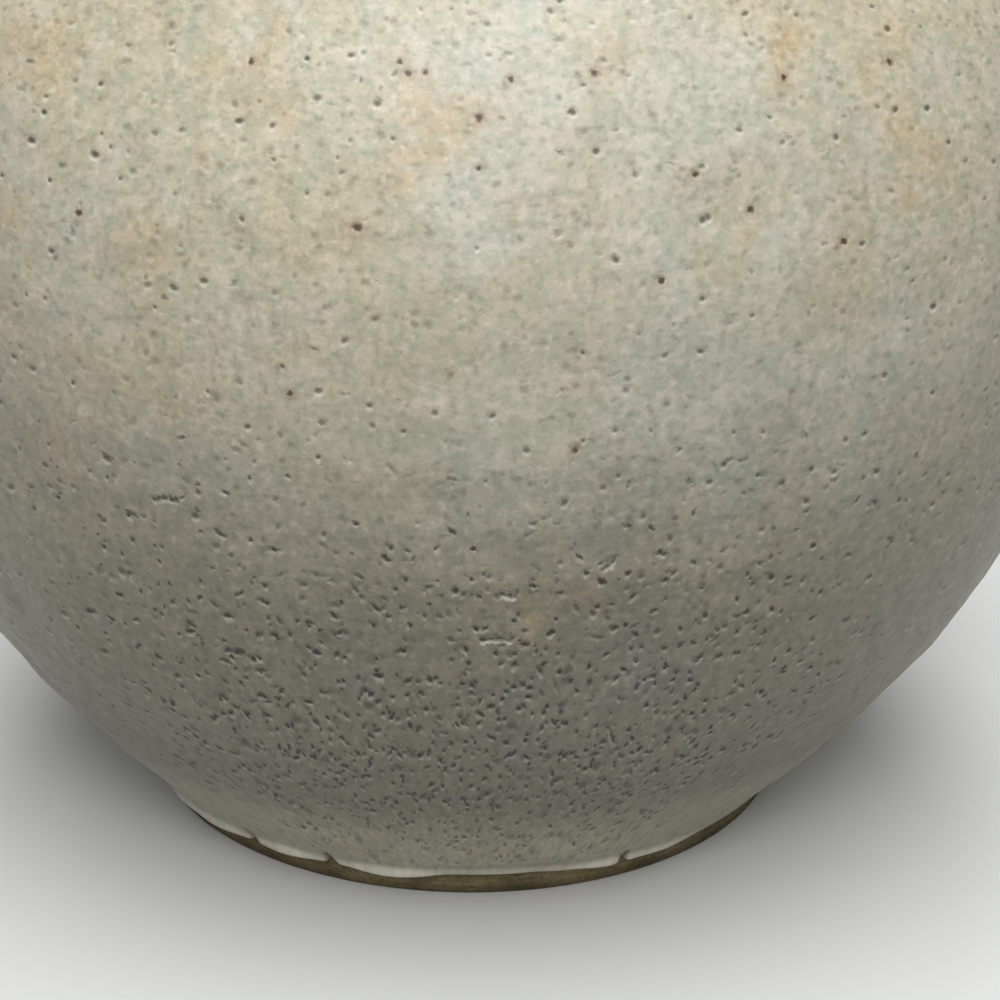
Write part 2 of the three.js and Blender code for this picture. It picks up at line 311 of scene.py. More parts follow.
# Glaze: lengths of its marks in millimetres, between which values of their noise they set in, and how strong
# they are
CLOUD_SIZE = 6.0
CLOUDED = (0.36, 0.62)
BREAK_SIZE = 1.3
BROKEN = (0.30, 0.66)
BLUSH_LEAST = 0.20
BLUSH_BROKEN = 0.50
BLUSH_LOST_ON_THIN = 0.5
STREAK_SIZE = 1.7
STREAK_SQUASH = 0.22
STREAKED = (0.50, 0.72)
STREAK_HEIGHTS = (34.0, 56.0)
STREAK_STRENGTH = 0.45
PALE_STRENGTH = 0.6
MOTTLE_SIZE = 0.9
MOTTLED = (0.38, 0.60)
MOTTLE_STRENGTH = 0.8
GRAIN_SIZE = 0.45
FLECKED = (0.46, 0.26)
FLECK_STRENGTH = 0.28
FLECK_LOST_ON_THIN = 0.18
GRAINED = (0.50, 0.72)
GRAIN_STRENGTH = 0.22
PLAIN_BEAD = 0.75
RAGGED_SIZE = 0.2
BEND_SIZE = 0.9
BEND = 0.5

# Relief of the glaze in millimetres, and its roughness
PEEL_SIZE = 0.75
PEEL = 0.06
SWELL_SIZE = 0.8
SWELL_SQUASH = (0.75, 0.75, 1.3)
SWELL = 0.24
GRAIN_RELIEF = 0.02
PITTED_GRAIN_RELIEF = 0.045
SMOOTH_BEAD = 0.8
GLAZE_ROUGHNESS = 0.42
ROUGHER_PEEL = 0.12
ROUGHER_PITS = 0.3

# How flat the strokes of the pits lie, their least size and its spread, and how far off the face they are
# lost
STROKE_LEVEL = (1.0, 1.0, 0.6)
STROKE_LEAST = 0.7
STROKE_SPREAD = 0.5
OFF_FACE = (0.10, 0.26)

# Pits by kind: spacing and stretch of the strokes, their raggedness, the share that shows on clear and more
# on pitted glaze, from faint to full, the radius of the core, and its darkness, depth and painted lip
# highlight
Pits = namedtuple("Pits", "spacing stretch ragged clear pitted faint full core darkness depth lip")
PINHOLES = Pits(0.95, 1.4, 0.10, 0.88, 0.0, 0.00, 0.90, 0.215, 0.88, 0.05, 0.50)
WORMS = Pits(0.66, 2.7, 0.20, 0.00, 1.08, -0.10, 0.30, 0.172, 0.96, 0.10, 0.52)
DASHES = Pits(0.58, 3.4, 0.16, -0.10, 1.08, -0.15, 0.25, 0.148, 0.90, 0.08, 0.40)
SOFT_DIMPLES = Pits(0.96, 1.7, 0.24, -0.74, 1.60, -0.10, 0.24, 0.320, 0.60, 0.08, 0.22)
# How far below each pit its painted highlight lies, and how much of it is lost where the glaze is thinner and
# shaded
HIGHLIGHT_DROP = 0.24
HIGHLIGHT_LOST_ON_THIN = 0.5

# From where to where the core, dent and painted lip highlight of a pit fade in, in radii of its core
CORE_EDGE = (1.1, 0.3)
DENT_EDGE = (1.6, 0.2)
HIGHLIGHT_EDGE = (1.2, 0.3)

# Faint spots
FAINT_SPACING = 0.72
FAINT_STRETCH = 1.5
FAINT_RAGGED = 0.2
FAINT_EDGE = (0.30, 0.04)
FAINT_SHARE = 0.85
FAINT_FULL = 0.8
FAINT_STRENGTH = 0.45

# Iron specks, with edges in their own sizes
IRON_RAGGED = 0.8
IRON_EDGE = (1.25, 0.4)
IRON_DARKNESS = 0.95
IRON_DENT_EDGE = (1.9, 0.5)
IRON_DENT = 0.04
RUST_EDGE = (3.4, 0.9)
RUST_STRENGTH = 0.22

# Cracks, with a highlight painted below the level ones
CRACK_RAGGED = 0.22
CRACK_EDGE = (0.12, 0.02)
CRACK_DARKNESS = 0.85
CRACK_DENT_EDGE = (0.30, 0.05)
CRACK_DENT = 0.06
CRACK_HIGHLIGHT_RAGGED = 0.3
CRACK_HIGHLIGHT_EDGE = (0.17, 0.01)
CRACK_HIGHLIGHT = 0.66

# Bare clay
CLAY_LINE_SQUASH = (0.12, 0.12, 1.0)
CLAY_LINE_SIZE = 0.22
CLAY_LINED = (0.48, 0.72)
CLAY_LINE_STRENGTH = 0.5
CLAY_GRAIN_SIZE = 0.3
CLAY_GRAINED = (0.42, 0.66)
CLAY_GRAIN_STRENGTH = 0.4
CLAY_CLOUD_SIZE = 5.0
CLAY_CLOUDED = (0.36, 0.64)
SAND_SPACING = 0.9
SAND_STRETCH = 1.4
SAND_EDGE = (0.16, 0.06)
SAND_SHARE = 0.4
SAND_STRENGTH = 0.22
# The clay darkens over its lowest millimetre towards the table
DARKER_LOW_HEIGHTS = (1.0, 0.1)
DARKER_LOW_STRENGTH = 0.6
CLAY_RELIEF = (0.06, 0.05, 0.03)
CLAY_ROUGHNESS = 0.82
CLAY_ROUGHER_GRAIN = 0.15

# Liner
LINER_CLOUD_SIZE = 5.0
LINER_CLOUDED = (0.35, 0.65)
LINER_HOLE_SPACING = 1.9
LINER_HOLE_STRETCH = 1.3
LINER_HOLE_EDGE = (0.24, 0.10)
LINER_HOLE_SHARE = 0.7
LINER_HOLE_DARKNESS = 0.7
LINER_HOLE_DEPTH = 0.06
LINER_PEEL_SIZE = 1.3
LINER_PEEL = 0.03
LINER_ROUGHNESS = 0.32
LINER_ROUGHER_CLOUD = 0.16

# Studio, in metres and watts, and the floor's faint clouds in millimetres
FLOOR_CLOUD_SIZE = 40.0
FLOOR_CLOUD = 0.97
FLOOR_REACH = 4.0
KEY_ELEVATION = math.radians(70)
KEY_DISTANCE = 0.8
KEY_SIZE = 0.8
KEY_POWER = 6.5
FILL_ELEVATION = math.radians(30)
FILL_DISTANCE = 0.8
FILL_SIZE = 0.5
FILL_POWER = 2.5
BACK_ELEVATION = math.radians(58)
BACK_DISTANCE = 0.9
BACK_SIZE = 0.5
BACK_POWER = 2.3
AIM = Vector((0, 0, 0.04))
AMBIENT = 0.04
BACKDROP = 0.45

# Camera at the photograph's viewing angle, in millimetres and pixels of its 1000 pixel frame
FRAME_SIZE = 1000
FRAME_CENTRE = 500
FOCAL_LENGTH = 2446
SENSOR = 36.0
EYE = np.array((0.0, -158.94, 82.0))
PITCH = 0.3799
YAW = -0.0135
ROLL = 0.016
NEAREST_SEEN = 0.01

SEED = 11
draw = np.random.default_rng(SEED)


def view_axes():
    """Right, up and back of the camera, as columns."""
    turn_about_z = np.array(Matrix.Rotation(YAW, 3, "Z"))
    back = turn_about_z @ (0, -math.cos(PITCH), math.sin(PITCH))
    right = turn_about_z @ (1, 0, 0)
    up = np.cross(back, right)
    rolled_right = math.cos(ROLL) * right + math.sin(ROLL) * up
    rolled_up = math.cos(ROLL) * up - math.sin(ROLL) * right
    return np.column_stack((rolled_right, rolled_up, back))


def smoothstep(value, start, end):
    share = np.clip((value - start) / (end - start), 0, 1)
    return share * share * (3 - 2 * share)


# Outline of the clay
def cubic(start, leave, reach, end):
    """Points of a cubic curve, without its first one."""
    share = np.linspace(0, 1, OUTLINE_SAMPLES)[1:, None]
    rest = 1 - share
    points = [np.array(point) for point in (start, leave, reach, end)]
    weights = (rest**3, 3 * rest**2 * share, 3 * rest * share**2, share**3)
    return sum(weight * point for weight, point in zip(weights, points))


def clay_outline():
    """Radius and height along the clay, from the table to the lip."""
    foot = (FOOT_RADIUS, 0)
    foot_top = (FOOT_TOP_RADIUS, FOOT_HEIGHT)
    leaves_foot = (
        FOOT_TOP_RADIUS + FLANK_PULL * math.cos(FLANK_RISE),
        FOOT_HEIGHT + FLANK_PULL * math.sin(FLANK_RISE),
    )
    belly = (BELLY_RADIUS, BELLY_HEIGHT)
    waist = (WAIST_RADIUS, WAIST_HEIGHT)
    lip = (LIP_RADIUS, LIP_BASE)
    reaches_lip = (LIP_RADIUS - LIP_PULL * math.cos(LIP_RISE), LIP_BASE - LIP_PULL * math.sin(LIP_RISE))
    stretches = [
        np.array((foot, foot_top)),
        cubic(foot_top, leaves_foot, (BELLY_RADIUS, BELLY_HEIGHT - BELLY_PULL_BELOW), belly),
        cubic(
            belly,
            (BELLY_RADIUS, BELLY_HEIGHT + BELLY_PULL_ABOVE),
            (WAIST_RADIUS, WAIST_HEIGHT - WAIST_PULL_BELOW),
            waist,
        ),
        cubic(waist, (WAIST_RADIUS, WAIST_HEIGHT + WAIST_PULL_ABOVE), reaches_lip, lip),
    ]
    return np.concatenate(stretches)


class Outline:
    """Radius and lean of the turned clay by height, or of its flank carried on straight to the table."""

    def __init__(self, flank_to_table=False):
        points = clay_outline()
        self.heights = np.arange(0, LIP_BASE + OUTLINE_STEP, OUTLINE_STEP)
        self.radii = np.interp(self.heights, points[:, 1], points[:, 0])
        if flank_to_table:
            below = np.minimum(self.heights - FOOT_HEIGHT, 0) / math.tan(FLANK_RISE)
            self.radii = np.where(below < 0, FOOT_TOP_RADIUS + below, self.radii)
        self.leans = np.hypot(1, np.gradient(self.radii, OUTLINE_STEP))

    def radius(self, height):
        return np.interp(height, self.heights, self.radii)

    def lean(self, height):
        """Horizontal run through a layer of unit thickness, which grows where the wall leans."""
        return np.interp(height, self.heights, self.leans)

    def raised(self, height, coat):
        return self.radius(height) + coat * self.lean(height)


clay = Outline()
glazed = Outline(flank_to_table=True)


def wall_at(height):
    return BODY_WALL + (NECK_WALL - BODY_WALL) * smoothstep(height, BELLY_HEIGHT, SEAT_HEIGHT)


def bore(height, coat=0.0):
    """Radius of the inside at a height, with a coat on it."""
    return clay.radius(height) - (wall_at(height) + coat) * clay.lean(height)


def levels(low, high, step):
    return np.linspace(low, high, max(2, round((high - low) / step) + 1))


def ripple(points, length):
    """Smooth unevenness of unit spread whose bumps are about a length across."""
    heading = draw.normal(size=(RIPPLE_WAVES, 3))
    heading /= np.linalg.norm(heading, axis=1)[:, None]
    pitch = TURN / length * draw.uniform(*RIPPLE_SPREAD, RIPPLE_WAVES)
    phase = draw.uniform(0, TURN, RIPPLE_WAVES)
    angle = points @ (heading * pitch[:, None]).T + phase
    return np.cos(angle).sum(-1) * math.sqrt(2 / RIPPLE_WAVES)


# Meshes turned about the axis
def round_angles(columns):
    return BACK + np.arange(columns) * TURN / columns


def ring_points(angles, radius, height):
    """Points of rows of rings, in millimetres, as rows by columns by 3."""
    radius, height, angles = np.broadcast_arrays(radius, height, angles)
    return np.stack((radius * np.cos(angles), radius * np.sin(angles), height), -1)


def skin(name, points, angles, shares, loop):
    """Mesh over rows of rings. A loop joins the last row to the first; otherwise both end on the axis."""
    rows, columns = points.shape[:2]
    index = np.arange(rows * columns).reshape(rows, columns)
    right = np.roll(index, -1, 1)
    lower = index if loop else index[1:-2]
    lower_right = right if loop else right[1:-2]
    upper = np.roll(index, -1, 0) if loop else index[2:-1]
    upper_right = np.roll(right, -1, 0) if loop else right[2:-1]
    quads = np.stack((lower, lower_right, upper_right, upper), -1).reshape(-1, 4)
    along = (angles - angles[0]) / TURN
    along_right = np.append(along[1:], 1.0)
    share = shares if loop else shares[1:-2]
    share_above = np.append(shares[1:], 1.0) if loop else shares[2:-1]
    across = np.broadcast_to(np.stack((along, along_right, along_right, along), -1), (len(share), columns, 4))
    rise = np.stack((share, share, share_above, share_above), -1)[:, None, :]
    chart = np.stack((across, np.broadcast_to(rise, across.shape)), -1).reshape(-1, 2)
    faces = quads.tolist()
    place = points.reshape(-1, 3)
    if not loop:
        fans, fan_chart = axis_fans(index, right, along, along_right, shares)
        faces = faces + fans
        chart = np.concatenate((chart, fan_chart))
    mesh = bpy.data.meshes.new(name)
    mesh.from_pydata((place * MM).tolist(), [], faces)
    chart_layer = mesh.uv_layers.new(name="OFBake")
    chart_layer.uv.foreach_set("vector", chart.astype(np.float32).ravel())
    mesh.shade_smooth()
    if not loop:
        drop_spare_points(mesh)
    piece = bpy.data.objects.new(name, mesh)
    bpy.context.scene.collection.objects.link(piece)
    return piece


def axis_fans(index, right, along, along_right, shares):
    """Triangles from the first and last row's single point on the axis to the rings beside them."""
    middle = (along + along_right) / 2
    start = np.stack((np.full_like(index[0], index[0, 0]), right[1], index[1]), -1)
    end = np.stack((index[-2], right[-2], np.full_like(index[-1], index[-1, 0])), -1)
    first, second, last_but_one, last = (np.full_like(along, shares[row]) for row in (0, 1, -2, -1))
    start_chart = np.stack((middle, along_right, along, first, second, second), -1)
    end_chart = np.stack((along, along_right, middle, last_but_one, last_but_one, last), -1)
    chart = np.concatenate((start_chart, end_chart)).reshape(-1, 2, 3).transpose(0, 2, 1)
    return start.tolist() + end.tolist(), chart.reshape(-1, 2)


def drop_spare_points(mesh):
    """Takes away the points of the axis rows that no face uses."""
    shell = bmesh.new()
    shell.from_mesh(mesh)
    spare = [point for point in shell.verts if not point.link_faces]
    bmesh.ops.delete(shell, geom=spare, context="VERTS")
    shell.to_mesh(mesh)
    shell.free()


def run_shares(radius, height):
    """How far each row lies along the profile, from 0 to 1."""
    steps = np.hypot(np.diff(radius), np.diff(height))
    run = np.concatenate(([0.0], np.cumsum(steps)))
    return run / (run[-1] + steps.mean())


def dense(profile, step):
    """Points of a profile with no two further apart than a step."""
    points = [profile[0]]
    for start, end in zip(profile, profile[1:]):
        count = max(1, math.ceil(math.dist(start, end) / step))
        points.extend(
            tuple(np.array(start) + (np.array(end) - np.array(start)) * share)
            for share in np.linspace(0, 1, count + 1)[1:]
        )
    return np.array(points)


def turned_piece(name, profile, loop, unevenness=None):
    """Solid of a profile turned about the axis, with its own unevenness on the surface."""
    angles = round_angles(CLAY_COLUMNS)
    radius = profile[:, :1] + np.zeros(CLAY_COLUMNS)
    height = profile[:, 1:] + np.zeros(CLAY_COLUMNS)
    if unevenness:
        radius, height = unevenness(radius, height, angles)
    points = ring_points(angles, radius, height)
    piece = skin(name, points, angles, run_shares(profile[:, 0], profile[:, 1]), loop)
    piece.data.set_sharp_from_angle(angle=SHARP_EDGE)
    return piece


# Foot ring, bowl, shoulder, neck and liner
def lap_radius(seat, height):
    """Radius of the middle of a lap, which leans in where the wall does."""
    middle = seat + LAP_HEIGHT / 2
    mid_wall = lambda level: (clay.radius(level) + bore(level)) / 2
    lean = min(0.0, (mid_wall(seat + LAP_HEIGHT) - mid_wall(seat)) / LAP_HEIGHT)
    return mid_wall(middle) + lean * (height - middle)


def outer_wall(low, high):
    return [(float(clay.radius(level)), level) for level in levels(low, high, CLAY_STEP)]


def inner_wall(high, low, coat=0.0):
    return [(float(bore(level, coat)), level) for level in levels(low, high, CLAY_STEP)[::-1]]


def tongue(seat):
    top = seat + LAP_HEIGHT - LAP_CLEARANCE
    half = LAP_CLEARANCE / 2
    return [(lap_radius(seat, seat) - half, seat), (lap_radius(seat, top) - half, top)]


def skirt(seat):
    top = seat + LAP_HEIGHT
    half = LAP_CLEARANCE / 2
    return [(lap_radius(seat, top) + half, top), (lap_radius(seat, seat) + half, seat)]


def lip_arc(outer, inner, rise):
    """Half ellipse over the lip from outside to inside, without its two ends."""
    turned = np.linspace(0, math.pi, LIP_ROWS + 1)[1:-1]
    middle = (outer + inner) / 2
    half = (outer - inner) / 2
    return [(middle + half * math.cos(turn), LIP_BASE + rise * math.sin(turn)) for turn in turned]


def corner_and_floor(coat):
    """Rounded inside corner from the wall down to the middle of the floor."""
    floor = FLOOR_HEIGHT + coat
    start = np.array((bore(CORNER_TOP, coat), CORNER_TOP))
    knee = np.array((bore(FLOOR_HEIGHT, coat), floor))
    end = np.array((bore(FLOOR_HEIGHT) - FLOOR_CORNER, floor))
    share = np.linspace(0, 1, CORNER_ROWS + 1)[:, None]
    corner = (1 - share) ** 2 * start + 2 * share * (1 - share) * knee + share**2 * end
    return [tuple(point) for point in corner] + [(0.0, floor)]


def rounded(corner, before, after, reach):
    """Points that round off a corner of a profile between its two sides."""
    corner, before, after = (np.array(point, float) for point in (corner, before, after))
    start = corner + (before - corner) / np.linalg.norm(before - corner) * reach
    end = corner + (after - corner) / np.linalg.norm(after - corner) * reach
    share = np.linspace(0, 1, BEVEL_ROWS + 1)[:, None]
    arc = (1 - share) ** 2 * start + 2 * share * (1 - share) * corner + share**2 * end
    return [tuple(point) for point in arc]


def turned_foot(radius, height, angles):
    """Fine tool lines round the band of the foot, and a face that wears slightly uneven."""
    line = np.sin(TURN * height / FOOT_TOOL_PITCH + FOOT_TOOL_WAVER * np.sin(3 * angles))
    band = smoothstep(height, *FOOT_TOOL_START) * smoothstep(FOOT_HEIGHT - height, *FOOT_TOOL_STOP)
    outer = radius > FOOT_RADIUS - FOOT_BEVEL / 2
    face = (height < FOOT_BEVEL / 4) * (1 + np.sin(TURN * radius / FOOT_TOOL_PITCH + angles)) / 2
    return radius - FOOT_TOOL_DEPTH * (1 + line) * band * outer, height + FOOT_TOOL_DEPTH * face


def trimmed_bowl(radius, height, angles):
    """Spiral left by the trimming tool under the floor."""
    under = (height < FOOT_HEIGHT) * smoothstep(radius, *SPIRAL_START)
    under = under * smoothstep(RECESS_RADIUS - radius, *SPIRAL_STOP)
    spiral = np.sin(TURN * radius / SPIRAL_PITCH - angles)
    return radius, height + SPIRAL_DEPTH * spiral * under


def foot_ring():
    inner = RECESS_RADIUS
    sides = [
        (inner, FOOT_HEIGHT),
        (inner, 0.0),
        (FOOT_RADIUS, 0.0),
        (FOOT_TOP_RADIUS, FOOT_HEIGHT),
    ]
    profile = [
        *rounded(sides[1], sides[0], sides[2], FOOT_BEVEL),
        *rounded(sides[2], sides[1], sides[3], FOOT_BEVEL),
        sides[3],
        sides[0],
    ]
    return turned_piece("bare_foot_ring", dense(profile + profile[:1], FOOT_STEP)[:-1], True, turned_foot)


def thrown_bowl():
    spigot = RECESS_RADIUS - LAP_CLEARANCE
    profile = [
        (0.0, UNDERSIDE_HEIGHT),
        (spigot, UNDERSIDE_HEIGHT),
        (spigot, FOOT_HEIGHT),
        *outer_wall(FOOT_HEIGHT, JOIN_HEIGHT),
        *tongue(JOIN_HEIGHT),
        *inner_wall(JOIN_HEIGHT + LAP_HEIGHT - LAP_CLEARANCE, CORNER_TOP),
        *corner_and_floor(0.0)[1:],
    ]
    return turned_piece("thrown_bowl", dense(profile, CLAY_STEP / 2), False, trimmed_bowl)


def thrown_shoulder():
    profile = [
        *outer_wall(JOIN_HEIGHT, SEAT_HEIGHT),
        *tongue(SEAT_HEIGHT),
        *inner_wall(SEAT_HEIGHT + LAP_HEIGHT - LAP_CLEARANCE, JOIN_HEIGHT + LAP_HEIGHT),
        *skirt(JOIN_HEIGHT),
    ]
    return turned_piece("thrown_shoulder", dense(profile + profile[:1], CLAY_STEP)[:-1], True)


def collared_neck():
    profile = [
        *outer_wall(SEAT_HEIGHT, LIP_BASE),
        *lip_arc(float(clay.radius(LIP_BASE)), float(bore(LIP_BASE)), LIP_ROUND),
        *inner_wall(LIP_BASE, SEAT_HEIGHT + LAP_HEIGHT),
        *skirt(SEAT_HEIGHT),
    ]
    return turned_piece("collared_neck", dense(profile + profile[:1], CLAY_STEP)[:-1], True)


def liner_coat():
    back, face = GLAZE_CLEARANCE, GLAZE_CLEARANCE + LINER_THICKNESS
    top = LIP_BASE - LINER_GAP
    profile = [
        *corner_and_floor(back)[::-1],
        *inner_wall(top, CORNER_TOP, back)[-2::-1],
        *inner_wall(top, CORNER_TOP, face),
        *corner_and_floor(face)[1:],
    ]
    return turned_piece("liner_coat", dense(profile, LINER_STEP), False)


# The outer glaze
def from_front(angles, place):
    """Angle from a place given in degrees round from the front, between half a turn each way."""
    aside = angles - FRONT - math.radians(place)
    return np.arctan2(np.sin(aside), np.cos(aside))


def glaze_edge(angles):
    """Height of the glaze's lower edge between its notches."""
    turned = angles - FRONT
    edge = np.full_like(angles, BARE_BAND)
    for turns, rise, phase in EDGE_WAVES:
        edge += rise * np.sin(turns * turned + math.radians(phase))
    half = math.radians(EDGE_DRAW_UP_WIDTH / 2)
    aside = np.abs(from_front(angles, EDGE_DRAW_UP_AT))
    return edge + EDGE_DRAW_UP * (1 - smoothstep(aside, half / 2, half))


def notched(angles):
    """1 in the middle of a notch in the edge, 0 away from the notches."""
    depth = np.zeros_like(angles)
    for place in NOTCHES:
        across = from_front(angles, place) * FOOT_TOP_RADIUS / (NOTCH_WIDTH / 2)
        depth += np.exp(-np.abs(across) ** NOTCH_FLARE)
    return depth


def upright_from(angles):
    """Height from which the glaze falls upright to its edge, higher where it hangs in a drop."""
    top = np.full_like(angles, BEAD_TOP)
    for place, width, rise in DROPS:
        top += rise * np.exp(-(from_front(angles, place) / math.radians(width)) ** 2)
    return top


def glaze_angles():
    """Even columns round the glaze, with closer ones at each notch."""
    reach = NOTCH_REACH * NOTCH_WIDTH / FOOT_TOP_RADIUS
    near = [
        FRONT + math.radians(place % 360) + np.linspace(-reach, reach, NOTCH_COLUMNS)
        for place in NOTCHES
    ]
    angles = np.concatenate([round_angles(GLAZE_COLUMNS), *near])
    angles = BACK + np.mod(angles - BACK, TURN)
    angles = np.sort(angles)
    apart = np.append(np.diff(angles), angles[0] + TURN - angles[-1])
    return angles[apart > CLOSEST_COLUMNS * TURN / GLAZE_COLUMNS]


def ring_wave(height, angles):
    """Throwing rings round the join, strongest there, which waver a little round the body."""
    rings = (height - JOIN_HEIGHT + RING_WAVER * np.sin(2 * angles + 1)) / RING_PITCH
    fade = np.maximum(0, 1 - np.abs(rings) / (RINGS_EACH_WAY + 1))
    return RING_DEPTH * fade * np.cos(TURN * rings)


def edge_distance(angles, height, edge):
    """Distance of points near the foot from the glaze's edge line."""
    nearest = np.full_like(height, np.inf)
    for shift in range(-EDGE_REACH, EDGE_REACH + 1):
        turned = np.roll(angles, shift)
        aside = np.arctan2(np.sin(angles - turned), np.cos(angles - turned)) * FOOT_TOP_RADIUS
        nearest = np.minimum(nearest, np.hypot(NOTCH_TURN_IN * aside, height - np.roll(edge, shift)))
    return nearest


def bead_roll(distance):
    """How far the glaze has risen from the clay to its full coat, by distance from the edge."""
    roll = np.clip(distance / BEAD_ROLL, 0, 1)
    return np.sqrt(1 - (1 - roll) ** 2)


def unrolled(points):
    """Places on the face as if it were a drum that narrows at the neck, with the low flank drawn together."""
    aside = from_front(np.arctan2(points[..., 1], points[..., 0]), 0)
    draw_in = LOW_MARKS + (1 - LOW_MARKS) * smoothstep(glazed.heights, LOW_MARKS_TOP, BELLY_HEIGHT)
    run = np.cumsum(glazed.leans) * OUTLINE_STEP
    low_run = np.cumsum(glazed.leans * draw_in) * OUTLINE_STEP
    low_run += run[-1] - low_run[-1]
    ran = 1 - (1 - LOW_MARKS_ASIDE) * smoothstep(np.abs(aside), LOW_MARKS_HALF_WIDTH, LOW_MARKS_END)
    height = np.interp(points[..., 2], glazed.heights, run)
    height += ran * (np.interp(points[..., 2], glazed.heights, low_run) - height)
    around = aside + SIDE_WIDENING / 2 * np.sin(2 * aside)
    narrowed = glazed.radius(np.maximum(points[..., 2], BELLY_HEIGHT)) / BELLY_RADIUS
    radius = MARK_RADIUS * narrowed**MARK_TAPER
    return np.stack((radius * np.sin(around), -radius * np.cos(around), height), -1)


class GlazeFace:
    """Rows of the glaze's outer face, from the tip of its edge to the base of the lip."""

    def __init__(self):
        self.angles = glaze_angles()
        self.edge = glaze_edge(self.angles)
        edge = self.edge + NOTCH_HEIGHT * notched(self.angles)
        roll = np.linspace(0, math.pi / 2, ROLL_ROWS + 1)
        near_edge = np.concatenate((
            BEAD_ROLL * (1 - np.cos(roll)),
            levels(BEAD_ROLL, BEAD_REACH, BEAD_STEP)[1:],
            levels(BEAD_REACH, BLEND_TOP - BARE_BAND, BLEND_STEP)[1:],
        ))
        near_edge = near_edge[:, None] / (BLEND_TOP - BARE_BAND)
        low = edge + near_edge * (BLEND_TOP - edge)
        face = levels(BLEND_TOP, FACE_TOP, FACE_STEP)[1:]
        shoulder = levels(FACE_TOP, LIP_BASE, SHOULDER_STEP)[1:]
        high = np.concatenate((face, shoulder))[:, None] + np.zeros_like(self.angles)
        self.height = np.concatenate((low, high))
        self.distance = self.height - edge
        self.distance[:len(low)] = edge_distance(self.angles, low, edge)
        smooth = ring_points(self.angles, glazed.raised(self.height, GLAZE_THICKNESS), self.height)
        lumps = sum(depth * ripple(smooth, size) for size, depth in LUMP_SIZES)
        settle = smoothstep(self.distance, *LUMPS_FROM_EDGE)
        settle *= 1 - smoothstep(self.height, LIP_BASE - LUMPS_BELOW_LIP, LIP_BASE)
        coat = GLAZE_CLEARANCE + GLAZE_THICKNESS + settle * (lumps + ring_wave(self.height, self.angles))
        above = self.height - upright_from(self.angles)
        upright = (np.hypot(above, BEAD_SOFTNESS) - above) / 2
        on_clay = clay.raised(self.height, GLAZE_CLEARANCE)
        full = glazed.raised(self.height + upright, coat)
        self.radius = on_clay + (full - on_clay) * bead_roll(self.distance)
        self.points = ring_points(self.angles, self.radius, self.height)
        outer = float(self.radius[-1].mean())
        inner = float(bore(LIP_BASE, GLAZE_CLEARANCE + LINER_THICKNESS))
        rise = LIP_ROUND + GLAZE_CLEARANCE + GLAZE_THICKNESS
        self.over_lip = lip_arc(outer, inner, rise) + [(inner, LIP_BASE)]
        steps = np.diff([(outer, LIP_BASE)] + self.over_lip, axis=0)
        self.lip_run = np.cumsum(np.hypot(*steps.T))


def glaze_coat(face):
    """Closed glaze coat: its face, over the lip, and its back on the clay."""
    over = face.over_lip + [(float(bore(LIP_BASE, GLAZE_CLEARANCE)), LIP_BASE)]
    on_clay = lip_arc(
        float(clay.raised(LIP_BASE, GLAZE_CLEARANCE)),
        float(bore(LIP_BASE, GLAZE_CLEARANCE)),
        LIP_ROUND + GLAZE_CLEARANCE,
    )[::-2]
    backs = levels(FOOT_HEIGHT, LIP_BASE, 4 * SHOULDER_STEP)[::-1]
    on_clay += [(float(clay.raised(level, GLAZE_CLEARANCE)), level) for level in backs]
    rest = np.array(over + on_clay)
    hidden = ring_points(face.angles, rest[:, :1], rest[:, 1:])
    points = np.concatenate((face.points, hidden))
    front_rows = len(face.height) + len(over)
    mean = points.mean(1)
    run = run_shares(np.hypot(points[:, 0, 0], points[:, 0, 1]), mean[:, 2])
    shares = np.concatenate((
        FACE_SHARE * run[:front_rows] / run[front_rows],
        FACE_SHARE + (1 - FACE_SHARE) * (run[front_rows:] - run[front_rows]) / (1 - run[front_rows]),
    ))
    return skin("glaze_coat", points, face.angles, shares, True)


def on_glaze(column, row):
    """Point of the glaze face, in millimetres, that shows at a pixel of the photograph."""
    sight = view_axes() @ (column - FRAME_CENTRE, FRAME_CENTRE - row, -FOCAL_LENGTH)
    sight /= np.linalg.norm(sight)
    path = EYE + np.arange(*SIGHT)[:, None] * sight
    face = glazed.raised(path[:, 2], GLAZE_CLEARANCE + GLAZE_THICKNESS)
    return path[np.argmax(np.hypot(path[:, 0], path[:, 1]) < face)]


def elsewhere(count):
    """Random points of the face where the photograph doesn't show it."""
    points = []
    while len(points) < count:
        aside = draw.uniform(-180, 180)
        height = draw.uniform(ELSEWHERE_FROM, LIP_BASE)
        if abs(aside) > PHOTO_ANGLE or height > PHOTO_TOP:
            angle = FRONT + math.radians(aside)
            radius = float(glazed.raised(height, GLAZE_CLEARANCE + GLAZE_THICKNESS))
            points.append((radius * math.cos(angle), radius * math.sin(angle), height))
    return np.array(points)


def stains(points, centres, sizes, strengths):
    """Sum of soft round stains, each fading out over its size."""
    total = np.zeros(points.shape[:-1])
    for centre, size, strength in zip(centres, sizes, strengths):
        away = ((points - centre) ** 2).sum(-1)
        total += strength * np.exp(-away / size**2)
    return total


def attach(piece, name, values):
    """Puts a value for each point of the face on the mesh, and 0 on the points that follow it."""
    vector = values.ndim == 3
    layer = piece.data.attributes.new(name, "FLOAT_VECTOR" if vector else "FLOAT", "POINT")
    spread = np.zeros(len(piece.data.vertices) * (3 if vector else 1), np.float32)
    spread[:values.size] = values.ravel()
    layer.data.foreach_set("vector" if vector else "value", spread)


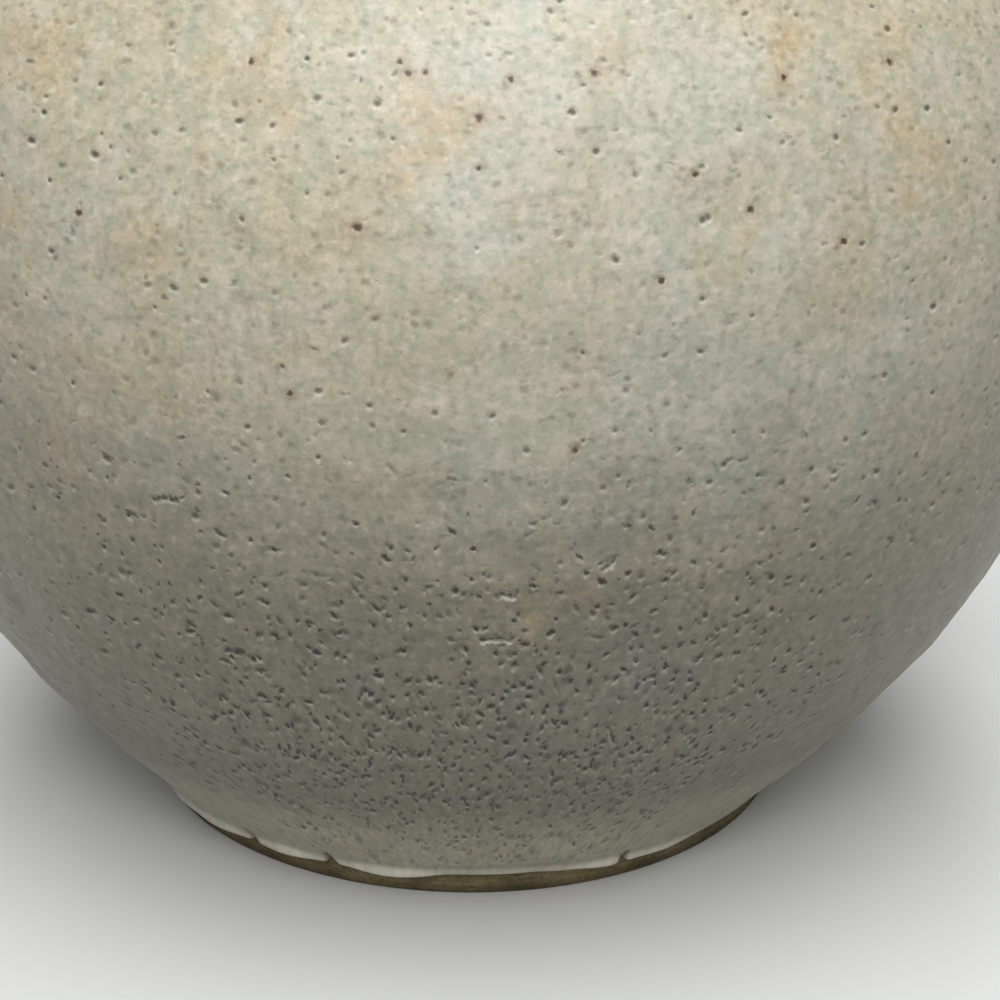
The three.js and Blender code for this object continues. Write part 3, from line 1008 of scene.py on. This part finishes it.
def paint_glaze(piece, face):
    """Where the glaze is blushed, pale, streaked, pitted or gathered in its bead."""
    points = face.points
    laid_out = unrolled(points)
    on_lip = laid_out[-1] + face.lip_run[:, None, None] * (0, 0, 1)
    attach(piece, "unrolled", np.concatenate((laid_out, on_lip)))
    crest = np.sin(math.pi * face.lip_run / face.lip_run[-1])[:, None] + np.zeros_like(face.angles)
    strayed = points + STRAY * np.stack([ripple(points, STRAY_LENGTH) for _ in range(3)], -1)
    for name, places, count, on_crest in (
        ("blush", BLUSHES, ELSEWHERE_BLUSHES, LIP_BLUSH),
        ("pale", PALE_PATCHES, ELSEWHERE_PATCHES, 0.0),
    ):
        columns, rows, sizes, strengths = zip(*places)
        here = [on_glaze(column, row) for column, row in zip(columns, rows)]
        centres = np.concatenate((here, elsewhere(count)))
        sizes = np.concatenate((sizes, draw.uniform(*ELSEWHERE_SIZES, count)))
        strengths = np.concatenate((strengths, draw.uniform(*ELSEWHERE_STRENGTHS, count)))
        stained = np.clip(stains(strayed, centres, sizes, strengths), 0, 1)
        attach(piece, name, np.concatenate((stained, on_crest * crest)))
    strayed_height = face.height + CLOUD_RISE * ripple(points, CLOUD_LENGTH)
    turned = np.abs(from_front(face.angles, 0))
    aside = smoothstep(turned, *SMOOTH_SIDES) * (1 - PITTED_BACK * smoothstep(turned, *SMOOTH_SIDES_END))
    depth = LEAST_PITTING + (1 - LEAST_PITTING) * (1 - smoothstep(strayed_height, *PITTED_HEIGHTS))
    depth *= 1 - SMOOTHNESS * aside * (1 - smoothstep(face.height, *SMOOTH_HEIGHTS))
    near, clear = CLEAR_OF_BEAD
    attach(piece, "pitting", depth * smoothstep(face.distance, near, clear + CLEAR_OF_BEAD_ASIDE * aside))
    # The glaze thins towards the foot, and painted shade darkens the lower body the same way
    beside = smoothstep(turned, *THIN_SIDES)
    low = THIN_HEIGHTS[0] - THIN_LONGER[0] * beside
    high = THIN_HEIGHTS[1] + THIN_LONGER[1] * beside
    thin_and_shaded = (1 - THIN_EARLY) * (1 - smoothstep(strayed_height, low, high))
    thin_and_shaded += THIN_EARLY * (1 - smoothstep(strayed_height, *THIN_EARLY_HEIGHTS))
    above_edge = face.height - face.edge
    attach(piece, "thin_and_shaded", thin_and_shaded * smoothstep(above_edge, *THIN_FROM_EDGE))
    strip = 1 - smoothstep(above_edge, *POOLED)
    attach(piece, "pooled", np.maximum(strip, FAINT_POOLING * (1 - smoothstep(above_edge, *FAINTLY_POOLED))))
    attach(piece, "bead", 1 - smoothstep(above_edge, *BEADED))
    # Painted shade inside each notch, fading out above it
    within = 1 - smoothstep(above_edge / NOTCH_HEIGHT, *NOTCH_SHADED)
    attach(piece, "notch", notched(face.angles) * within)


# Materials
class Wire:
    """An output of a finish's nodes. Arithmetic on wires adds the Math nodes that work it out."""

    def __init__(self, finish, socket):
        self.finish = finish
        self.socket = socket

    def math(self, operation, *terms):
        return self.finish.node("ShaderNodeMath", {"operation": operation}, dict(enumerate(terms)))

    def __add__(self, other):
        return self.math("ADD", self, other)

    def __radd__(self, other):
        return self.math("ADD", other, self)

    def __sub__(self, other):
        return self.math("SUBTRACT", self, other)

    def __rsub__(self, other):
        return self.math("SUBTRACT", other, self)

    def __mul__(self, other):
        return self.math("MULTIPLY", self, other)

    def __rmul__(self, other):
        return self.math("MULTIPLY", other, self)

    def __truediv__(self, other):
        return self.math("DIVIDE", self, other)

    def __abs__(self):
        return self.math("ABSOLUTE", self)

    def root(self):
        return self.math("SQRT", self)

    def least(self, other):
        return self.math("MINIMUM", self, other)

    def most(self, other):
        return self.math("MAXIMUM", self, other)

    def below(self, other):
        return self.math("LESS_THAN", self, other)

    def fade(self, none, full):
        """Smooth change from 0 where the value is none to 1 where it is full."""
        settings = {"interpolation_type": "SMOOTHSTEP", "clamp": True}
        sockets = {0: self, 1: none, 2: full, 3: 0.0, 4: 1.0}
        return self.finish.node("ShaderNodeMapRange", settings, sockets)

    def beside(self, name):
        """Another output of the same node."""
        return Wire(self.finish, self.socket.node.outputs[name])


class Finish:
    """The nodes of a material or of the world, and the shader that they feed."""

    def __init__(self, owner, shader="Principled BSDF"):
        owner.use_nodes = True
        self.owner = owner
        self.tree = owner.node_tree
        self.shader = self.tree.nodes[shader]

    def node(self, kind, settings=None, sockets=None, output=0):
        """Adds a node, sets its settings first and then the values or links of its sockets."""
        node = self.tree.nodes.new(kind)
        for name, value in (settings or {}).items():
            setattr(node, name, value)
        for name, value in (sockets or {}).items():
            self.feed(node.inputs[name], value)
        return Wire(self, node.outputs[output])

    def feed(self, socket, value):
        if isinstance(value, Wire):
            self.tree.links.new(value.socket, socket)
        else:
            socket.default_value = value

    def shade(self, **values):
        """Values or links of the shader's own sockets, with _ for a space in a name."""
        for name, value in values.items():
            self.feed(self.shader.inputs[name.replace("_", " ")], value)

    def vector(self, operation, *terms, output=0):
        return self.node("ShaderNodeVectorMath", {"operation": operation}, dict(enumerate(terms)), output)

    def mix(self, share, first, second):
        """First colour where the share is 0, second where it is 1."""
        sockets = {0: share, 6: first, 7: second}
        return self.node("ShaderNodeMix", {"data_type": "RGBA"}, sockets, 2)

    def tint(self, strength, base, by):
        """A colour multiplied by another, as far as the strength goes."""
        settings = {"data_type": "RGBA", "blend_type": "MULTIPLY"}
        return self.node("ShaderNodeMix", settings, {0: strength, 6: base, 7: by}, 2)

    def place(self):
        """Where a point of the surface lies, in millimetres."""
        spot = self.node("ShaderNodeTexCoord", output="Object")
        return self.node("ShaderNodeVectorMath", {"operation": "SCALE"}, {0: spot, "Scale": 1 / MM})

    def part(self, vector, axis):
        return self.node("ShaderNodeSeparateXYZ", None, {0: vector}, axis)

    def noise(self, place, length, detail=2.0, roughness=0.5, output=0):
        """Soft noise whose marks are about a length across, centred on a half."""
        sockets = {"Vector": place, "Scale": 1 / length, "Detail": detail, "Roughness": roughness}
        return self.node("ShaderNodeTexNoise", None, sockets, output)

    def painted(self, name, output="Fac"):
        settings = {"attribute_type": "GEOMETRY", "attribute_name": name}
        return self.node("ShaderNodeAttribute", settings, None, output)

    def seen(self):
        """1 where the camera sees a surface, itself or in gloss or glass, and 0 for the rest of the light."""
        path = self.node("ShaderNodeLightPath", output="Is Camera Ray")
        return path.most(path.beside("Is Glossy Ray")).most(path.beside("Is Transmission Ray"))

    def bump(self, height):
        """Normal of a surface raised by a height in millimetres."""
        sockets = {"Strength": 1.0, "Distance": MM, "Height": height}
        return self.node("ShaderNodeBump", None, sockets)

    def from_axis(self, place):
        flat = self.vector("MULTIPLY", place, (1.0, 1.0, 0.0))
        return self.vector("LENGTH", flat, output=1)

    def strokes(self, place, spacing, stretch, ragged=None, drop=None, on_face=False):
        """Scattered short strokes: how far a point is from the nearest one, that one's lot, and how far the
        point is from it once it is moved down by a drop.
        On an unrolled face, the lot of strokes that lie off the face is above 1."""
        cells = self.node("ShaderNodeTexVoronoi", None, {"Vector": place, "Scale": 1 / spacing}, "Position")
        lot = self.node("ShaderNodeTexWhiteNoise", None, {"Vector": cells}, "Value")
        heading = self.vector("SUBTRACT", lot.beside("Color"), (0.5, 0.5, 0.5))
        heading = self.vector("NORMALIZE", self.vector("MULTIPLY", heading, STROKE_LEVEL))
        size = STROKE_LEAST + STROKE_SPREAD * self.part(lot.beside("Color"), "Y")

        def reach(away):
            along = self.vector("DOT_PRODUCT", away, heading, output=1)
            square = self.vector("DOT_PRODUCT", away, away, output=1)
            far = (square - along * along * (1 - 1 / stretch**2)).most(0.0).root()
            return (far + ragged if ragged else far) / size

        away = self.vector("SUBTRACT", place, cells)
        below = reach(self.vector("ADD", away, (0.0, 0.0, drop))) if drop else None
        if on_face:
            off_face = abs(self.from_axis(cells) - self.from_axis(place))
            lot = lot + off_face.fade(*OFF_FACE)
        return reach(away), lot, below

    def crack(self, place, start, end):
        """How far a point is from a straight crack between two points."""
        run = end - start
        away = self.vector("SUBTRACT", place, tuple(start))
        along = self.vector("DOT_PRODUCT", away, tuple(run / (run @ run)), output=1).most(0.0).least(1.0)
        foot = self.node("ShaderNodeVectorMath", {"operation": "SCALE"}, {0: tuple(run), "Scale": along})
        return self.vector("DISTANCE", away, foot, output=1)


def glaze_tone(glaze, place, grain):
    """Colour of the glaze without its pits: clouded and blushed above, thinner and darkened with painted
    shade below, pooled at its edge.
    """
    height = glaze.part(glaze.place(), "Z")
    thin_and_shaded = glaze.painted("thin_and_shaded")
    cloud = glaze.noise(place, CLOUD_SIZE, 3.0, 0.55)
    broken = glaze.noise(place, BREAK_SIZE, 2.0, 0.6).fade(*BROKEN)
    tall = glaze.vector("MULTIPLY", place, (1.0, 1.0, STREAK_SQUASH))
    streak = glaze.noise(tall, STREAK_SIZE).fade(*STREAKED) * height.fade(*STREAK_HEIGHTS)
    mottle = glaze.noise(place, MOTTLE_SIZE, 2.0, 0.55)
    blushed = glaze.painted("blush") * (BLUSH_LEAST + BLUSH_BROKEN * broken)
    plain = 1 - PLAIN_BEAD * glaze.painted("bead")

    body = glaze.mix(cloud.fade(*CLOUDED), CREAM, WARM_CREAM)
    # Thinner glaze darkened with painted shade on the lower body, where patches take a shaded grey
    body = glaze.mix(thin_and_shaded, body, THIN_SHADED_GLAZE)
    body = glaze.mix(glaze.painted("pale") * PALE_STRENGTH, body, glaze.mix(thin_and_shaded, COOL_WHITE, SHADED_COOL_GREY))
    body = glaze.mix(streak * STREAK_STRENGTH, body, COOL_WHITE)
    body = glaze.mix(blushed * (1 - BLUSH_LOST_ON_THIN * thin_and_shaded), body, BLUSH)
    body = glaze.mix(glaze.painted("pooled"), body, POOLED_GLAZE)
    body = glaze.mix(glaze.painted("bead"), body, BEAD_GLAZE)
    body = glaze.tint(MOTTLE_STRENGTH, body, glaze.mix(mottle.fade(*MOTTLED), PINK_CLOUD, GREEN_CLOUD))
    fleck = FLECK_STRENGTH - FLECK_LOST_ON_THIN * thin_and_shaded
    body = glaze.mix(grain.fade(*FLECKED) * fleck * plain, body, FLECK)
    return glaze.tint(grain.fade(*GRAINED) * GRAIN_STRENGTH * plain, body, FAINT_SHADE)


def pits(glaze, kind, place, ragged, pitting):
    """Dark cores, dents and painted highlights on the lower lips of one kind of pit."""
    reach, lot, below = glaze.strokes(
        place, kind.spacing, kind.stretch, ragged * kind.ragged, HIGHLIGHT_DROP, True
    )
    here = (kind.clear + kind.pitted * pitting - lot).fade(kind.faint, kind.full)

    def edged(away, edge):
        return away.fade(edge[0] * kind.core, edge[1] * kind.core)

    dark = edged(reach, CORE_EDGE) * here * kind.darkness
    dent = edged(reach, DENT_EDGE) * here * kind.depth
    # Painted highlight on the pit's lower lip, where light from above would catch it
    lip = edged(below, HIGHLIGHT_EDGE) * here * here * kind.lip
    return dark, dent, lip


def speckled_glaze(specks, cracks):
    """Satin cream glaze with pinholes above, dense pits and a few cracks below, and iron specks."""
    glaze = Finish(bpy.data.materials.new("speckled_glaze"))
    place = glaze.painted("unrolled", "Vector")
    pitting = glaze.painted("pitting")
    thin_and_shaded = glaze.painted("thin_and_shaded")
    bead = glaze.painted("bead")
    clear = 1 - glaze.painted("pooled")
    grain = glaze.noise(place, GRAIN_SIZE, 2.0, 0.6)
    ragged = glaze.noise(place, RAGGED_SIZE, 1.0) - 0.5
    bent = glaze.vector("SUBTRACT", glaze.noise(place, BEND_SIZE, 3.0, 0.6, "Color"), (0.5, 0.5, 0.5))
    bent = glaze.vector("MULTIPLY_ADD", bent, (BEND, BEND, BEND), place)

    body = glaze_tone(glaze, place, grain)
    reach, lot, _ = glaze.strokes(place, FAINT_SPACING, FAINT_STRETCH, ragged * FAINT_RAGGED, None, True)
    faint = reach.fade(*FAINT_EDGE) * (FAINT_SHARE - lot).fade(0.0, FAINT_FULL) * clear
    body = glaze.tint(faint * FAINT_STRENGTH, body, FAINT_SHADE)

    iron = None
    for spot, size in specks:
        reach = glaze.vector("DISTANCE", bent, tuple(spot), output=1) / size
        iron = reach if iron is None else iron.least(reach)
    iron = iron + ragged * IRON_RAGGED
    body = glaze.mix(iron.fade(*RUST_EDGE) * RUST_STRENGTH, body, RUST)
    dent = iron.fade(*IRON_DENT_EDGE) * IRON_DENT
    spot, hole_dent, lip = pits(glaze, PINHOLES, place, ragged, pitting)
    spot = (spot * clear).most(iron.fade(*IRON_EDGE) * IRON_DARKNESS)
    dent = dent.most(hole_dent * clear)
    lip = lip * clear

    dark = crack_highlight = None
    for start, end in cracks:
        reach = glaze.crack(bent, start, end) + ragged * CRACK_RAGGED
        # Painted highlight just below each crack, strongest where the crack lies level
        lowered = glaze.vector("ADD", bent, (0.0, 0.0, HIGHLIGHT_DROP))
        below = glaze.crack(lowered, start, end) + ragged * CRACK_HIGHLIGHT_RAGGED
        line = reach.fade(*CRACK_EDGE) * CRACK_DARKNESS
        level = math.hypot(*(end - start)[:2]) / np.linalg.norm(end - start)
        glint = below.fade(*CRACK_HIGHLIGHT_EDGE) * (CRACK_HIGHLIGHT * level**2)
        dark = line if dark is None else dark.most(line)
        crack_highlight = glint if crack_highlight is None else crack_highlight.most(glint)
        dent = dent.most(reach.fade(*CRACK_DENT_EDGE) * CRACK_DENT)
    small = glaze.part(glaze.place(), "Z").fade(*SOFT_PITS)
    fine = pitting * (SMALL_PITS_LOW + (1 - SMALL_PITS_LOW) * small)
    for kind, shown in ((WORMS, fine), (DASHES, fine), (SOFT_DIMPLES, pitting)):
        core, hollow, edge = pits(glaze, kind, bent, ragged, shown)
        dark = dark.most(core)
        dent = dent.most(hollow)
        lip = lip.most(edge)
    dark = dark * (PIT_DARKNESS_LOW + (1 - PIT_DARKNESS_LOW) * small)
    # Painted highlights below pits and cracks, standing in for light from above on their lower lips
    body = glaze.mix((lip * (1 - HIGHLIGHT_LOST_ON_THIN * thin_and_shaded)).most(crack_highlight), body, PIT_HIGHLIGHT)
    body = glaze.mix(spot, body, SPOT_SHADE)
    body = glaze.mix(dark, body, PIT_SHADE)
    # Painted shade in the notches
    body = glaze.mix(glaze.painted("notch"), body, NOTCH_SHADE)

    peel = glaze.noise(place, PEEL_SIZE)
    swell = glaze.noise(glaze.vector("MULTIPLY", place, SWELL_SQUASH), SWELL_SIZE)
    raised = peel * PEEL + swell * SWELL * pitting + grain * (GRAIN_RELIEF + PITTED_GRAIN_RELIEF * pitting)
    raised = raised * (1 - SMOOTH_BEAD * bead)
    rough = GLAZE_ROUGHNESS + ROUGHER_PEEL * peel + ROUGHER_PITS * dark
    glaze.shade(Base_Color=body, Roughness=rough, Normal=glaze.bump(raised - dent))
    glaze.shade(IOR=1.5, Coat_Weight=0.1, Coat_Roughness=0.25)
    return glaze.owner


def stoneware(name, base, dark, light):
    """Bare fired clay: fine grain, turning lines, sand, a toasted tone, and darker towards the table."""
    body = Finish(bpy.data.materials.new(name))
    place = body.place()
    flat = body.vector("MULTIPLY", place, CLAY_LINE_SQUASH)
    lines = body.noise(flat, CLAY_LINE_SIZE, 2.0, 0.6)
    grain = body.noise(place, CLAY_GRAIN_SIZE, 3.0, 0.65)
    cloud = body.noise(place, CLAY_CLOUD_SIZE, 3.0, 0.55)
    tone = body.mix(cloud.fade(*CLAY_CLOUDED), base, dark)
    tone = body.mix(lines.fade(*CLAY_LINED) * CLAY_LINE_STRENGTH, tone, light)
    tone = body.tint(grain.fade(*CLAY_GRAINED) * CLAY_GRAIN_STRENGTH, tone, dark)
    sand_reach, sand_lot, _ = body.strokes(place, SAND_SPACING, SAND_STRETCH)
    sand = sand_reach.fade(*SAND_EDGE) * sand_lot.below(SAND_SHARE)
    tone = body.mix(sand * SAND_STRENGTH, tone, SAND)
    # Darker towards the table
    tone = body.tint(body.part(place, "Z").fade(*DARKER_LOW_HEIGHTS) * DARKER_LOW_STRENGTH, tone, dark)
    grain_relief, line_relief, sand_relief = CLAY_RELIEF
    normal = body.bump(grain * grain_relief + lines * line_relief + sand * sand_relief)
    body.shade(Base_Color=tone, Roughness=CLAY_ROUGHNESS + CLAY_ROUGHER_GRAIN * grain, Normal=normal)
    return body.owner


def liner_glaze():
    """Smooth liner with faint clouds and a few pinholes."""
    liner = Finish(bpy.data.materials.new("liner_glaze"))
    place = liner.place()
    cloud = liner.noise(place, LINER_CLOUD_SIZE, 3.0, 0.55)
    tone = liner.mix(cloud.fade(*LINER_CLOUDED), LINER, LINER_SHADE)
    hole_reach, hole_lot, _ = liner.strokes(place, LINER_HOLE_SPACING, LINER_HOLE_STRETCH)
    hole = hole_reach.fade(*LINER_HOLE_EDGE) * hole_lot.below(LINER_HOLE_SHARE)
    tone = liner.mix(hole * LINER_HOLE_DARKNESS, tone, PIT_SHADE)
    peel = liner.noise(place, LINER_PEEL_SIZE)
    normal = liner.bump(peel * LINER_PEEL - hole * LINER_HOLE_DEPTH)
    liner.shade(Base_Color=tone, Roughness=LINER_ROUGHNESS + LINER_ROUGHER_CLOUD * cloud, Normal=normal)
    return liner.owner


def pale_floor():
    floor = Finish(bpy.data.materials.new("pale_floor"))
    place = floor.place()
    tone = floor.noise(place, FLOOR_CLOUD_SIZE)
    shade = tuple(FLOOR_CLOUD * part for part in FLOOR[:3]) + (1.0,)
    pale = floor.mix(tone, FLOOR, shade)
    floor.shade(Base_Color=floor.mix(floor.seen(), FLOOR_BOUNCE, pale), Roughness=FLOOR_ROUGHNESS)
    return floor.owner


def dress(piece, node, material):
    """Gives a piece its finish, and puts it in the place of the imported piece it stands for."""
    piece.data.materials.append(material)
    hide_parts(node)
    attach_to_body(piece, "root")


def build_vase():
    face = GlazeFace()
    glaze = glaze_coat(face)
    paint_glaze(glaze, face)
    specks = [(unrolled(on_glaze(column, row)), IRON_SCALE * size) for column, row, size in IRON_SPECKS]
    cracks = [(unrolled(on_glaze(*ends[:2])), unrolled(on_glaze(*ends[2:]))) for ends in CRACKS]
    foot_clay = stoneware("bare_clay", BARE_CLAY, DARK_CLAY, LIGHT_CLAY)
    body_clay = stoneware("clay_body", LIGHT_CLAY, BARE_CLAY, SAND)
    dress(foot_ring(), "foot_ring", foot_clay)
    dress(thrown_bowl(), "lower_body", body_clay)
    dress(thrown_shoulder(), "upper_body", body_clay)
    dress(collared_neck(), "neck", body_clay)
    dress(glaze, "outer_glaze", speckled_glaze(specks, cracks))
    dress(liner_coat(), "inner_glaze", liner_glaze())


# Studio
def soft_light(name, elevation, distance, size, power, toward_back):
    lamp = bpy.data.lights.new(name, "AREA")
    lamp.shape = "DISK"
    lamp.size = size
    lamp.energy = power
    light = bpy.data.objects.new(name, lamp)
    side = 1 if toward_back else -1
    offset = Vector((0, side * math.cos(elevation), math.sin(elevation))) * distance
    light.location = AIM + offset
    light.rotation_euler = offset.to_track_quat("Z", "Y").to_euler()
    bpy.context.scene.collection.objects.link(light)


def backdrop():
    """Even dim light all round, with a pale backdrop where it is seen."""
    world = bpy.data.worlds.new("studio")
    light = Finish(world, "Background")
    light.shade(Color=(1.0, 1.0, 1.0, 1.0), Strength=AMBIENT + (BACKDROP - AMBIENT) * light.seen())
    bpy.context.scene.world = world


def studio():
    mesh = bpy.data.meshes.new("floor")
    reach = FLOOR_REACH
    mesh.from_pydata(
        [(-reach, -reach, 0), (reach, -reach, 0), (reach, reach, 0), (-reach, reach, 0)],
        [],
        [(0, 1, 2, 3)],
    )
    mesh.materials.append(pale_floor())
    floor = bpy.data.objects.new("floor", mesh)
    bpy.context.scene.collection.objects.link(floor)
    soft_light("key", KEY_ELEVATION, KEY_DISTANCE, KEY_SIZE, KEY_POWER, False)
    soft_light("front_fill", FILL_ELEVATION, FILL_DISTANCE, FILL_SIZE, FILL_POWER, False)
    soft_light("back_fill", BACK_ELEVATION, BACK_DISTANCE, BACK_SIZE, BACK_POWER, True)
    backdrop()


def camera():
    lens = bpy.data.cameras.new("camera")
    lens.sensor_width = SENSOR
    lens.lens = SENSOR * FOCAL_LENGTH / FRAME_SIZE
    lens.clip_start = NEAREST_SEEN
    eye = bpy.data.objects.new("camera", lens)
    stance = Matrix(view_axes().tolist()).to_4x4()
    stance.translation = Vector(EYE * MM)
    eye.matrix_world = stance
    bpy.context.scene.collection.objects.link(eye)
    bpy.context.scene.camera = eye


camera()
build_vase()
studio()
bpy.context.scene.view_settings.view_transform = "Standard"
